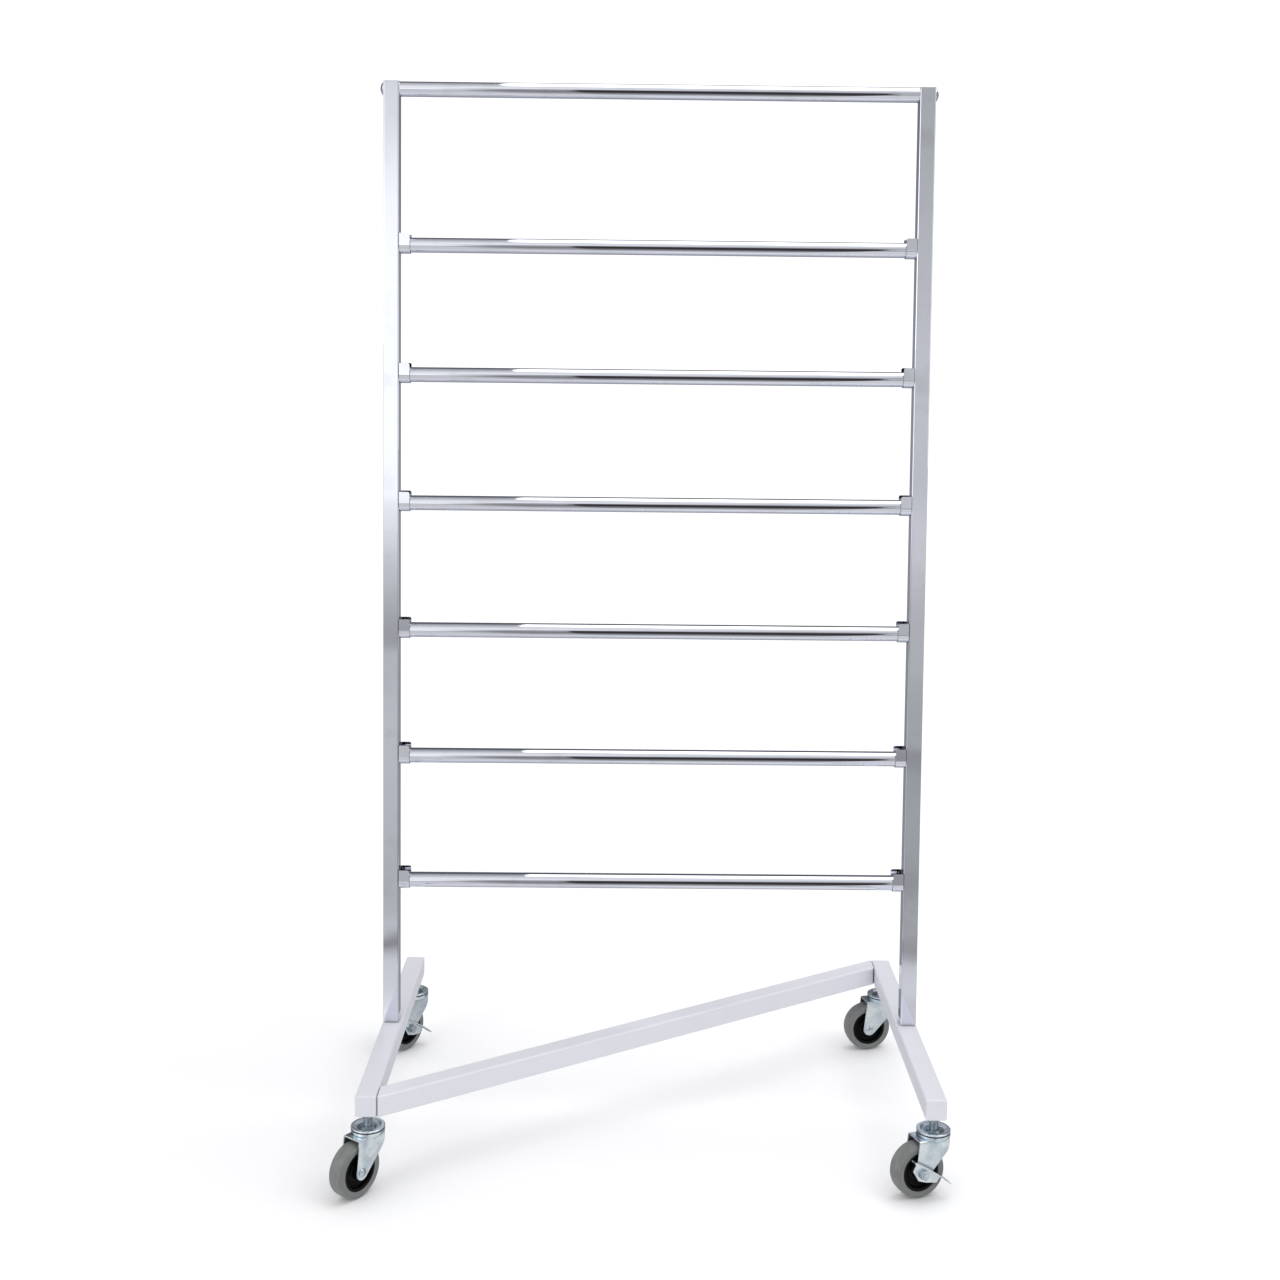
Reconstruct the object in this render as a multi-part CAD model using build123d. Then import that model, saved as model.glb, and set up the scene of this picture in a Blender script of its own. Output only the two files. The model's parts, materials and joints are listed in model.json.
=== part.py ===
from build123d import *
import os
from math import atan2, cos, degrees, hypot, pi, radians, sin

os.makedirs("parts", exist_ok=True)

# All sizes in millimetres. X runs along the hang bars, Y from front to back, Z up from the floor.
# The rack is laid out about the middle of its base; FOOTPRINT_SHIFT then moves every piece so that
# the origin falls on the floor under the middle of the overall outline, trailing casters included.
FOOTPRINT_SHIFT = (12.2, 17.1, 0.0)

# Base: two side rails and one diagonal rail of the same square tube
RAIL_SIZE = 32.0
RAIL_WALL = 1.6
RAIL_CORNER = 3.0
RAIL_LENGTH = 560.0
RAIL_OFFSET = 423.0
RAIL_UNDERSIDE = 118.8
RAIL_TOP = RAIL_UNDERSIDE + RAIL_SIZE
RAIL_MID = RAIL_UNDERSIDE + RAIL_SIZE / 2
RAIL_BORE = RAIL_SIZE - 2 * RAIL_WALL
RAIL_FACE = RAIL_OFFSET - RAIL_SIZE / 2
PLUG_FLANGE = 3.0
PLUG_INSERT = 5.0
PLUG_WALL = 2.0
PLUG_EDGE = 2.4
DIAGONAL_REACH = 264.0
DIAGONAL_GAP = 1.2
DIAGONAL_PLATE = 5.0

# Uprights: square tube standing at the middle of each side rail
POST_SIZE = 25.4
POST_WALL = 1.5
POST_CORNER = 2.0
POST_OFFSET = 425.0
POST_TOP = 1677.3
POST_BORE = POST_SIZE - 2 * POST_WALL
POST_FACE = POST_OFFSET - POST_SIZE / 2
CAP_FLANGE = 3.0
CAP_EDGE = 0.9
CAP_INSERT = 4.0
FOOT_PLUG = 14.0

# Hang bars
BAR_RADIUS = 12.0
BAR_WALL = 1.2
TOP_BAR_Z = 1665.3
CROSSBAR_COUNT = 6
CROSSBAR_FIRST_Z = 387.0
CROSSBAR_PITCH = 206.5
CROSSBAR_HALF_LENGTH = 407.0
INSERT_LENGTH = 18.0

# Open-topped bar brackets
BRACKET_PLATE = 2.0
BRACKET_RADIUS = 12.3
BRACKET_WALL = 1.6
BRACKET_LENGTH = 16.8
BRACKET_RISE = 18.5
BRACKET_LIP = 3.0
BRACKET_SCREW_RISES = (-6.0, 7.0)

# Casters
STEM_INSET = 22.0
STEM_RADIUS = 6.0
TRAIL = 27.4
WHEEL_RADIUS = 40.4
AXLE_Z = WHEEL_RADIUS
AXLE_RADIUS = 4.0
TYRE_HALF_WIDTH = 14.0
TYRE_SHOULDER = 5.0
TYRE_GROOVE = 0.45
TYRE_GROOVE_ANGLES = (18.0, 62.0)
TYRE_CROWN = 0.6
HUB_HALF_WIDTH = 12.6
HUB_RADIUS = 29.4
TYRE_BORE = 29.45
FORK_TOP = 89.3
FORK_SHEET = 2.2
FORK_OUTER_BEND = 3.2
FORK_INNER_BEND = 0.9
FORK_HALF_WIDTH = 17.5
FORK_TAIL = 32.5
FORK_TIP_RADIUS = 11.3
CROWN_RADIUS = 25.3
RACEWAY_RADIUS = 25.6
BALL_RADIUS = 1.65
BALL_TRACK = 18.6
BALL_COUNT = 18
STEM_NUT = (17.0, 9.0)
RUNNING_CLEARANCE = 0.05
PIVOT_CLEARANCE = 0.08
LEVER_SHEET = 1.8
LEVER_GAP = 0.2
LEVER_PEDAL_WIDTH = 11.0

# Fasteners: shank and head sizes
M8_RADIUS = 4.0
M6_RADIUS = 3.0
M5_RADIUS = 2.4
DOME_HEAD_M8 = (10.4, 5.8)
SUNK_HEAD_M6 = (4.4, 1.4)
SUNK_HOLE_M6 = (4.45, 1.25)
SOCKET_M6 = (2.3, 2.5)
DOME_HEAD_M5 = (4.2, 2.2)
HEX_HEAD_M8 = (13.0, 5.3)
HOLE_CLEARANCE = 0.2
JOINT_BOLT_SPREAD = 8.0
JOINT_BOLT_Z = RAIL_MID + 3.0


def save(name, *solids):
    """Write one named piece, or a set of identical pieces, in the shared frame."""
    moved = [Pos(*FOOTPRINT_SHIFT) * solid for solid in solids]
    piece = moved[0] if len(moved) == 1 else Compound(children=moved)
    piece.label = name
    export_step(piece, f"parts/{name}.step")


def rod(start, end, radius):
    """Round solid between two points."""
    axis = Vector(*end) - Vector(*start)
    return Plane(origin=start, z_dir=axis) * extrude(Circle(radius), axis.length)


def bolt(seat, direction, length, radius, head):
    """Domed fastener: the head stands outside the seat, the shank runs along the direction."""
    head_radius, head_height = head
    edge = head_height * 0.3
    rise = head_height - edge
    dome = (head_radius**2 + rise**2) / (2 * rise)
    half_turn = atan2(head_radius, dome - rise) / 2
    crest = (dome * sin(half_turn), head_height - dome + dome * cos(half_turn))
    outline = make_face(
        Polyline((0, head_height), (0, -length), (radius, -length), (radius, 0), (head_radius, 0))
        + Line((head_radius, 0), (head_radius, edge))
        + ThreePointArc((head_radius, edge), crest, (0, head_height))
    )
    solid = revolve(Plane.XZ * outline, Axis.Z)
    return Plane(origin=seat, z_dir=-Vector(*direction)) * solid


def countersunk(radius, length, head):
    """Round shank below the XY plane with a cone that widens up to it."""
    head_radius, depth = head
    outline = Polyline(
        (0, 0), (head_radius, 0), (radius, -depth), (radius, -length), (0, -length), close=True
    )
    return revolve(Plane.XZ * make_face(outline), Axis.Z)


def hex_head(seat, direction, across_flats, height):
    """Hexagon with lightly turned-down corners, growing along the direction."""
    corner = across_flats / (2 * cos(pi / 6))
    blank = extrude(RegularPolygon(corner, 6), height)
    taper = (corner - across_flats / 2) * 0.6
    turned = revolve(
        Plane.XZ
        * make_face(
            Polyline(
                (0, 0),
                (corner, 0),
                (corner, height - taper),
                (across_flats / 2, height),
                (0, height),
                close=True,
            )
        ),
        Axis.Z,
    )
    return Plane(origin=seat, z_dir=direction) * (blank & turned)


def square_tube(size, wall, corner, length):
    """Welded square tube standing on the XY plane."""
    outside = RectangleRounded(size, size, corner)
    inside = RectangleRounded(size - 2 * wall, size - 2 * wall, corner - wall * 0.8)
    return extrude(outside - inside, length)


def round_tube(radius, wall, half_length, height):
    """Round tube along X, centred over the base."""
    ring = Circle(radius) - Circle(radius - wall)
    return Pos(-half_length, 0, height) * Rot(0, 90, 0) * extrude(ring, 2 * half_length)


def crossbar_heights():
    return [CROSSBAR_FIRST_Z + CROSSBAR_PITCH * step for step in range(CROSSBAR_COUNT)]


def joint_bolt_positions(side):
    """Y positions of the two bolts that hold the diagonal to one side rail."""
    middle = side * (RAIL_LENGTH / 2 - STEM_INSET)
    return [middle - JOINT_BOLT_SPREAD, middle + JOINT_BOLT_SPREAD]


def joint_bolt_plane(side, y):
    """Outer face of a side rail at one joint bolt, facing out."""
    return Plane(origin=(side * (RAIL_OFFSET + RAIL_SIZE / 2), y, JOINT_BOLT_Z), z_dir=(side, 0, 0))


def side_rail(side):
    """Side rail tube with its caster, upright and diagonal holes."""
    length = RAIL_LENGTH - 2 * PLUG_FLANGE
    tube = Rot(-90, 0, 0) * square_tube(RAIL_SIZE, RAIL_WALL, RAIL_CORNER, length)
    rail = Pos(side * RAIL_OFFSET, -length / 2, RAIL_MID) * tube
    x = side * RAIL_OFFSET
    for y in (-1, 1):
        stem_y = y * (RAIL_LENGTH / 2 - STEM_INSET)
        rail -= rod((x, stem_y, RAIL_UNDERSIDE - 1), (x, stem_y, RAIL_MID), STEM_RADIUS + HOLE_CLEARANCE)
    post_x = side * POST_OFFSET
    rail -= rod((post_x, 0, RAIL_UNDERSIDE - 1), (post_x, 0, RAIL_TOP + 1), M8_RADIUS + HOLE_CLEARANCE)
    hole = countersunk(M6_RADIUS + HOLE_CLEARANCE, RAIL_SIZE + 1, SUNK_HOLE_M6)
    for y in joint_bolt_positions(side):
        rail -= joint_bolt_plane(side, y) * hole
    return rail


def rail_end_plug(side, end):
    """Moulded plug: a rim the size of the tube and a hollow insert."""
    rim = extrude(RectangleRounded(RAIL_SIZE, RAIL_SIZE, RAIL_CORNER), PLUG_FLANGE)
    rim = fillet(rim.faces().sort_by(Axis.Z)[-1].edges(), PLUG_EDGE)
    size = RAIL_BORE - 0.2
    corner = RAIL_CORNER - RAIL_WALL * 0.8
    sleeve = RectangleRounded(size, size, corner) - Rectangle(size - 2 * PLUG_WALL, size - 2 * PLUG_WALL)
    plug = rim + Pos(0, 0, -PLUG_INSERT) * extrude(sleeve, PLUG_INSERT)
    face_y = end * (RAIL_LENGTH / 2 - PLUG_FLANGE)
    return Pos(side * RAIL_OFFSET, face_y, RAIL_MID) * Rot(-90 * end, 0, 0) * plug


def diagonal_angle():
    return degrees(atan2(DIAGONAL_REACH, RAIL_FACE))


def diagonal_blank(outline):
    """Square section run along the diagonal direction, longer than needed."""
    length = 2.4 * hypot(RAIL_FACE, DIAGONAL_REACH)
    bar = Pos(-length / 2, 0, 0) * Rot(0, 90, 0) * extrude(outline, length)
    return Pos(0, 0, RAIL_MID) * Rot(0, 0, diagonal_angle()) * bar


def diagonal_rail():
    """Diagonal tube trimmed to the side rails and flush with their ends."""
    outline = RectangleRounded(RAIL_SIZE, RAIL_SIZE, RAIL_CORNER) - RectangleRounded(
        RAIL_BORE, RAIL_BORE, RAIL_CORNER - RAIL_WALL * 0.8
    )
    trim = Pos(0, 0, RAIL_MID) * Box(2 * (RAIL_FACE - DIAGONAL_GAP), RAIL_LENGTH, 2 * RAIL_SIZE)
    return diagonal_blank(outline) & trim


def diagonal_end_plate(side):
    """Plate welded in the end of the diagonal, standing proud enough to meet the side rail."""
    size = RAIL_BORE - 0.1
    block = diagonal_blank(RectangleRounded(size, size, RAIL_CORNER - RAIL_WALL * 0.8))
    slab = Pos(side * (RAIL_FACE - DIAGONAL_PLATE / 2), 0, RAIL_MID) * Box(
        DIAGONAL_PLATE, RAIL_LENGTH - 1.0, RAIL_SIZE
    )
    plate = block & slab
    for y in joint_bolt_positions(side):
        plate -= rod(
            (side * (RAIL_FACE + 1), y, JOINT_BOLT_Z),
            (side * (RAIL_FACE - DIAGONAL_PLATE - 1), y, JOINT_BOLT_Z),
            M6_RADIUS + RUNNING_CLEARANCE,
        )
    return plate


def joint_bolt(side, y):
    """Flush bolt with a hexagon socket, from the outside of the rail into the diagonal."""
    corner, depth = SOCKET_M6
    shape = countersunk(M6_RADIUS, RAIL_SIZE + DIAGONAL_PLATE + 2.0, SUNK_HEAD_M6)
    shape -= Pos(0, 0, -depth) * extrude(RegularPolygon(corner, 6), depth)
    return joint_bolt_plane(side, y) * shape


def upright(side):
    """Post tube with its top-bar bolt holes and bracket screw holes."""
    length = POST_TOP - CAP_FLANGE - RAIL_TOP
    tube = square_tube(POST_SIZE, POST_WALL, POST_CORNER, length)
    post = Pos(side * POST_OFFSET, 0, RAIL_TOP) * tube
    outer = side * (POST_OFFSET + POST_SIZE)
    inner = side * (POST_FACE - 1)
    post -= rod((outer, 0, TOP_BAR_Z), (inner, 0, TOP_BAR_Z), M8_RADIUS + HOLE_CLEARANCE)
    for height in crossbar_heights():
        for rise in BRACKET_SCREW_RISES:
            z = height + rise
            post -= rod(
                (side * POST_OFFSET, 0, z), (inner, 0, z), M5_RADIUS + RUNNING_CLEARANCE
            )
    return post


def upright_cap(side):
    """Thin flush cap with a short insert."""
    rim = extrude(RectangleRounded(POST_SIZE, POST_SIZE, POST_CORNER), CAP_FLANGE)
    rim = fillet(rim.faces().sort_by(Axis.Z)[-1].edges(), CAP_EDGE)
    size = POST_BORE - 0.2
    sleeve = RectangleRounded(size, size, POST_CORNER - POST_WALL * 0.8) - Rectangle(
        size - 2 * PLUG_WALL, size - 2 * PLUG_WALL
    )
    cap = rim + Pos(0, 0, -CAP_INSERT) * extrude(sleeve, CAP_INSERT)
    return Pos(side * POST_OFFSET, 0, POST_TOP - CAP_FLANGE) * cap


def foot_plug(side):
    """Threaded block welded in the foot of an upright."""
    size = POST_BORE - 0.1
    block = extrude(RectangleRounded(size, size, POST_CORNER - POST_WALL * 0.8), FOOT_PLUG)
    block -= extrude(Circle(M8_RADIUS + RUNNING_CLEARANCE), FOOT_PLUG)
    return Pos(side * POST_OFFSET, 0, RAIL_TOP) * block


def foot_bolt(side):
    """Hexagon bolt from under the side rail up into the foot plug."""
    x = side * POST_OFFSET
    across_flats, height = HEX_HEAD_M8
    shank = rod((x, 0, RAIL_UNDERSIDE), (x, 0, RAIL_TOP + FOOT_PLUG - 2.0), M8_RADIUS)
    return shank + hex_head((x, 0, RAIL_UNDERSIDE), (0, 0, -1), across_flats, height)


def top_bar_insert(side):
    """Threaded plug pressed in one end of the top hang bar."""
    end = side * POST_FACE
    near = side * (POST_FACE - INSERT_LENGTH)
    plug = rod((end, 0, TOP_BAR_Z), (near, 0, TOP_BAR_Z), BAR_RADIUS - BAR_WALL - 0.02)
    return plug - rod((end, 0, TOP_BAR_Z), (near, 0, TOP_BAR_Z), M8_RADIUS + RUNNING_CLEARANCE)


def top_bar_bolt(side):
    seat = (side * (POST_OFFSET + POST_SIZE / 2), 0, TOP_BAR_Z)
    return bolt(seat, (-side, 0, 0), POST_SIZE + INSERT_LENGTH - 4.0, M8_RADIUS, DOME_HEAD_M8)


def bracket(side, height):
    """Backing plate with an open-topped cradle; the free upper corners are rounded."""
    outer = BRACKET_RADIUS + BRACKET_WALL
    plate_outline = make_face(
        Line((-outer, 0), (-outer, BRACKET_RISE))
        + Line((-outer, BRACKET_RISE), (outer, BRACKET_RISE))
        + Line((outer, BRACKET_RISE), (outer, 0))
        + ThreePointArc((outer, 0), (0, -outer), (-outer, 0))
    )
    cradle = make_face(
        Line((-outer, 0), (-outer, BRACKET_RISE))
        + Line((-outer, BRACKET_RISE), (-BRACKET_RADIUS, BRACKET_RISE))
        + Line((-BRACKET_RADIUS, BRACKET_RISE), (-BRACKET_RADIUS, 0))
        + ThreePointArc((-BRACKET_RADIUS, 0), (0, -BRACKET_RADIUS), (BRACKET_RADIUS, 0))
        + Line((BRACKET_RADIUS, 0), (BRACKET_RADIUS, BRACKET_RISE))
        + Line((BRACKET_RADIUS, BRACKET_RISE), (outer, BRACKET_RISE))
        + Line((outer, BRACKET_RISE), (outer, 0))
        + ThreePointArc((outer, 0), (0, -outer), (-outer, 0))
    )
    across = Plane(origin=(0, 0, 0), x_dir=(0, 1, 0), z_dir=(1, 0, 0))
    body = extrude(across * plate_outline, BRACKET_PLATE) + extrude(across * cradle, BRACKET_LENGTH)
    lips = [
        edge
        for edge in body.edges().filter_by(Axis.Y)
        if edge.center().X > BRACKET_LENGTH - 0.1 and edge.center().Z > BRACKET_RISE - 0.1
    ]
    body = fillet(lips, BRACKET_LIP)
    for rise in BRACKET_SCREW_RISES:
        body -= rod((-1, 0, rise), (BRACKET_PLATE + 1, 0, rise), M5_RADIUS + HOLE_CLEARANCE)
    turn = Rot(0, 0, 180) if side > 0 else Rot(0, 0, 0)
    return Pos(side * POST_FACE, 0, height) * turn * body


def bracket_screw(side, height, rise):
    seat = (side * (POST_FACE - BRACKET_PLATE), 0, height + rise)
    return bolt(seat, (side, 0, 0), BRACKET_PLATE + POST_WALL + 5.0, M5_RADIUS, DOME_HEAD_M5)


def caster_frame(side, end, swivel):
    """Placement of a caster: local X is the trailing direction, local Y points out of its near face."""
    return Pos(side * RAIL_OFFSET, end * (RAIL_LENGTH / 2 - STEM_INSET), 0) * Rot(0, 0, 180 + swivel)


def turned(points):
    """Solid of revolution about Z from radius and height pairs."""
    return revolve(Plane.XZ * make_face(Polyline(*points, close=True)), Axis.Z)


def caster_stem():
    """Stem with its thread end in the rail, a shoulder on the raceway and a riveted foot."""
    return turned(
        [
            (0, FORK_TOP - 7.5),
            (8.0, FORK_TOP - 7.5),
            (8.6, FORK_TOP - 6.5),
            (8.6, FORK_TOP - 4.2),
            (STEM_RADIUS, FORK_TOP - 3.2),
            (STEM_RADIUS, RAIL_UNDERSIDE + 11.0),
            (STEM_RADIUS - 1.2, RAIL_UNDERSIDE + 12.5),
            (0, RAIL_UNDERSIDE + 12.5),
        ]
    )


def caster_lock_nut():
    """Hexagon nut run up the stem against the underside of the rail."""
    across_flats, height = STEM_NUT
    nut = hex_head((0, 0, RAIL_UNDERSIDE), (0, 0, -1), across_flats, height)
    bore_foot = (0, 0, RAIL_UNDERSIDE - height - 1)
    return nut - rod(bore_foot, (0, 0, RAIL_UNDERSIDE + 1), STEM_RADIUS + RUNNING_CLEARANCE)


def caster_weld_nut():
    """Threaded boss welded on the inside of the rail over the stem hole."""
    floor = RAIL_UNDERSIDE + RAIL_WALL
    boss = rod((0, 0, floor), (0, 0, floor + 9.5), 9.0)
    return boss - rod((0, 0, floor), (0, 0, floor + 9.5), STEM_RADIUS + RUNNING_CLEARANCE)


def caster_raceway():
    """Dished upper raceway: rolled rim, sunken ring and raised middle."""
    bore = STEM_RADIUS + RUNNING_CLEARANCE
    rim = FORK_TOP + 6.0
    return turned(
        [
            (bore, rim - 0.4),
            (9.2, rim - 0.4),
            (11.2, rim - 2.2),
            (21.2, rim - 2.2),
            (21.2, rim),
            (RACEWAY_RADIUS - 0.7, rim),
            (RACEWAY_RADIUS, rim + 0.7),
            (RACEWAY_RADIUS, rim + 2.0),
            (RACEWAY_RADIUS - 0.9, rim + 2.8),
            (20.6, rim + 2.8),
            (17.2, rim - 0.3),
            (12.2, rim - 0.3),
            (9.8, rim + 1.8),
            (bore, rim + 1.8),
        ]
    )


def swivel_balls():
    """Ring of balls between the fork crown and the raceway."""
    step = 2 * pi / BALL_COUNT
    middle = FORK_TOP + 2.1
    return [
        Pos(BALL_TRACK * cos(step * k), BALL_TRACK * sin(step * k), middle) * Sphere(BALL_RADIUS)
        for k in range(BALL_COUNT)
    ]


def tangent_point(corner, centre, radius, turn):
    """Point where the line from the corner touches the circle; turn picks the side."""
    reach = hypot(corner[0] - centre[0], corner[1] - centre[1])
    lean = atan2((reach**2 - radius**2) ** 0.5, radius)
    bearing = atan2(corner[1] - centre[1], corner[0] - centre[0]) + turn * lean
    return (centre[0] + radius * cos(bearing), centre[1] + radius * sin(bearing))


def fork_outline():
    """Side view of the fork in the trail and height plane, rounded about the axle."""
    centre = (TRAIL, AXLE_Z)
    shoulder = (-18.2, FORK_TOP - 8.5)
    hollow = (-16.8, FORK_TOP - 16.3)
    knee = (-12.5, FORK_TOP - 23.5)
    tail = (FORK_TAIL, FORK_TOP)
    front = tangent_point(knee, centre, FORK_TIP_RADIUS, 1)
    rear = tangent_point(tail, centre, FORK_TIP_RADIUS, -1)
    bottom = (TRAIL + FORK_TIP_RADIUS * cos(radians(-60)), AXLE_Z + FORK_TIP_RADIUS * sin(radians(-60)))
    crown_end = (shoulder[0], FORK_TOP)
    return make_face(
        Line(tail, crown_end)
        + Line(crown_end, shoulder)
        + ThreePointArc(shoulder, hollow, knee)
        + Line(knee, front)
        + ThreePointArc(front, bottom, rear)
        + Line(rear, tail)
    )


def fork_channel():
    """Folded channel run along the trail direction, open downwards, with rounded bends."""
    depth = 2 * FORK_TOP
    half = FORK_HALF_WIDTH
    outside = Pos(0, FORK_TOP - depth / 2) * RectangleRounded(2 * half, depth, FORK_OUTER_BEND)
    inner = half - FORK_SHEET
    inside = Pos(0, FORK_TOP - FORK_SHEET - depth / 2) * RectangleRounded(2 * inner, depth, FORK_INNER_BEND)
    across = Plane(origin=(-2 * FORK_TAIL, 0, 0), x_dir=(0, 1, 0), z_dir=(1, 0, 0))
    return extrude(across * (outside - inside), 4 * FORK_TAIL)


def caster_fork():
    """Pressed fork: a folded channel cut to two tapered legs under a crown with a conical skirt."""
    blank = Pos(0, FORK_HALF_WIDTH, 0) * extrude(Plane.XZ * fork_outline(), 2 * FORK_HALF_WIDTH)
    fork = blank & fork_channel()
    fork += Pos(0, 0, FORK_TOP - FORK_SHEET) * extrude(Circle(CROWN_RADIUS - 1.9), FORK_SHEET)
    fork += turned(
        [
            (FORK_HALF_WIDTH - 1.6, FORK_TOP - 6.8),
            (FORK_HALF_WIDTH - 0.1, FORK_TOP - 7.4),
            (CROWN_RADIUS - 0.8, FORK_TOP - 1.2),
            (CROWN_RADIUS, FORK_TOP + 0.4),
            (CROWN_RADIUS, FORK_TOP + 4.6),
            (CROWN_RADIUS - 2.0, FORK_TOP + 4.6),
            (CROWN_RADIUS - 2.0, FORK_TOP - 1.0),
        ]
    )
    fork -= rod((0, 0, FORK_TOP - 10), (0, 0, FORK_TOP + 1), STEM_RADIUS + PIVOT_CLEARANCE)
    reach = FORK_HALF_WIDTH + 1
    return fork - rod((TRAIL, -reach, AXLE_Z), (TRAIL, reach, AXLE_Z), AXLE_RADIUS + RUNNING_CLEARANCE)


def wheel_hub():
    """Moulded hub: rim, dished web with a raised ring and a boss that runs on the axle."""
    half = HUB_HALF_WIDTH
    near = [
        (AXLE_RADIUS + RUNNING_CLEARANCE, 14.7),
        (9.0, 14.7),
        (9.8, 13.9),
        (10.6, 7.0),
        (12.4, 5.2),
        (16.6, 5.2),
        (17.4, 6.6),
        (19.4, 6.6),
        (20.2, 5.2),
        (23.6, 5.8),
        (25.2, half - 0.8),
        (26.2, half),
        (HUB_RADIUS, half),
    ]
    far = [(radius, -height) for radius, height in reversed(near)]
    return Pos(TRAIL, 0, AXLE_Z) * Rot(90, 0, 0) * turned(near + far)


def tyre_side(side):
    """Groove centres on one side of the tyre: round the shoulder, as radius and height."""
    shoulder = WHEEL_RADIUS - TYRE_CROWN - TYRE_SHOULDER
    flat = TYRE_HALF_WIDTH - TYRE_SHOULDER
    return [
        (shoulder + TYRE_SHOULDER * sin(radians(a)), side * (flat + TYRE_SHOULDER * cos(radians(a))))
        for a in TYRE_GROOVE_ANGLES
    ]


def wheel_tyre():
    """Tyre with flared sidewalls, grooved round shoulders and a shallow crown."""
    w = TYRE_HALF_WIDTH
    s = TYRE_SHOULDER
    tread = WHEEL_RADIUS - TYRE_CROWN
    shoulder = tread - s
    out = s * sin(pi / 4)
    back = s * (1 - cos(pi / 4))
    outline = make_face(
        Line((TYRE_BORE, -HUB_HALF_WIDTH), (shoulder, -w))
        + ThreePointArc((shoulder, -w), (shoulder + out, -w + back), (tread, -w + s))
        + ThreePointArc((tread, -w + s), (WHEEL_RADIUS, 0), (tread, w - s))
        + ThreePointArc((tread, w - s), (shoulder + out, w - back), (shoulder, w))
        + Line((shoulder, w), (TYRE_BORE, HUB_HALF_WIDTH))
        + Line((TYRE_BORE, HUB_HALF_WIDTH), (TYRE_BORE, -HUB_HALF_WIDTH))
    )
    for side in (-1, 1):
        for radius, height in tyre_side(side):
            outline -= Pos(radius, height) * Circle(TYRE_GROOVE)
    return Pos(TRAIL, 0, AXLE_Z) * Rot(90, 0, 0) * revolve(Plane.XZ * outline, Axis.Z)


def rivet_axle():
    """Axle with two domed heads closed over the fork legs."""
    near = bolt(
        (TRAIL, FORK_HALF_WIDTH, AXLE_Z), (0, -1, 0), 2 * FORK_HALF_WIDTH, AXLE_RADIUS, (6.2, 2.8)
    )
    far = bolt((TRAIL, -FORK_HALF_WIDTH, AXLE_Z), (0, 1, 0), FORK_HALF_WIDTH, AXLE_RADIUS, (6.2, 2.8))
    return near + far


def nut_seat():
    """How far out the axle nut sits, past the brake lever."""
    return FORK_HALF_WIDTH + LEVER_SHEET + 2 * LEVER_GAP


def bolt_axle():
    """Hexagon axle bolt that runs through the fork and the brake lever."""
    across_flats, height = HEX_HEAD_M8
    head = hex_head((TRAIL, -FORK_HALF_WIDTH, AXLE_Z), (0, -1, 0), across_flats, height)
    end = nut_seat() + 7.6
    return head + rod((TRAIL, -FORK_HALF_WIDTH, AXLE_Z), (TRAIL, end, AXLE_Z), AXLE_RADIUS)


def axle_nut():
    nut = hex_head((TRAIL, nut_seat(), AXLE_Z), (0, 1, 0), 13.0, 6.5)
    bore = rod(
        (TRAIL, nut_seat() - 1, AXLE_Z), (TRAIL, nut_seat() + 8, AXLE_Z), AXLE_RADIUS + RUNNING_CLEARANCE
    )
    return nut - bore


def brake_lever():
    """Side lever: plate around the axle with a pedal strip turned out along its upper edge."""
    base = FORK_HALF_WIDTH + LEVER_GAP
    tail, crest, tip = (46.2, AXLE_Z + 24.6), (17.4, AXLE_Z + 7.6), (-15.6, AXLE_Z - 17.4)
    under_tail, under_crest, under_tip = (
        (47.4, AXLE_Z + 23.2),
        (18.4, AXLE_Z + 6.0),
        (-14.6, AXLE_Z - 19.0),
    )
    strip_face = make_face(
        ThreePointArc(tail, crest, tip)
        + Line(tip, under_tip)
        + ThreePointArc(under_tip, under_crest, under_tail)
        + Line(under_tail, tail)
    )
    root = (38.4, AXLE_Z + 19.2)
    toe = (-1.2, AXLE_Z - 8.8)
    low_corners = [
        root,
        (45.2, AXLE_Z + 6.9),
        (35.6, AXLE_Z - 8.9),
        (23.4, AXLE_Z - 13.3),
        (4.6, AXLE_Z - 16.7),
        toe,
    ]
    plate_face = make_face(Polyline(*low_corners) + ThreePointArc(toe, under_crest, root))
    plate_face -= Pos(TRAIL, AXLE_Z) * Circle(AXLE_RADIUS + RUNNING_CLEARANCE)
    plate = Pos(0, base + LEVER_SHEET, 0) * extrude(Plane.XZ * plate_face, LEVER_SHEET)
    pedal = Pos(0, base + LEVER_PEDAL_WIDTH, 0) * extrude(Plane.XZ * strip_face, LEVER_PEDAL_WIDTH)
    return plate + pedal


def build_base():
    save("left_base_rail", side_rail(-1))
    save("right_base_rail", side_rail(1))
    save("diagonal_base_rail", diagonal_rail())
    save("diagonal_end_plates", diagonal_end_plate(-1), diagonal_end_plate(1))
    bolts = [joint_bolt(side, y) for side in (-1, 1) for y in joint_bolt_positions(side)]
    save("diagonal_joint_bolts", *bolts)
    save("base_rail_end_plugs", *[rail_end_plug(side, end) for side in (-1, 1) for end in (-1, 1)])


def build_uprights():
    save("left_upright", upright(-1))
    save("right_upright", upright(1))
    save("left_upright_cap", upright_cap(-1))
    save("right_upright_cap", upright_cap(1))
    save("upright_foot_plugs", foot_plug(-1), foot_plug(1))
    save("upright_foot_bolts", foot_bolt(-1), foot_bolt(1))


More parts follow.
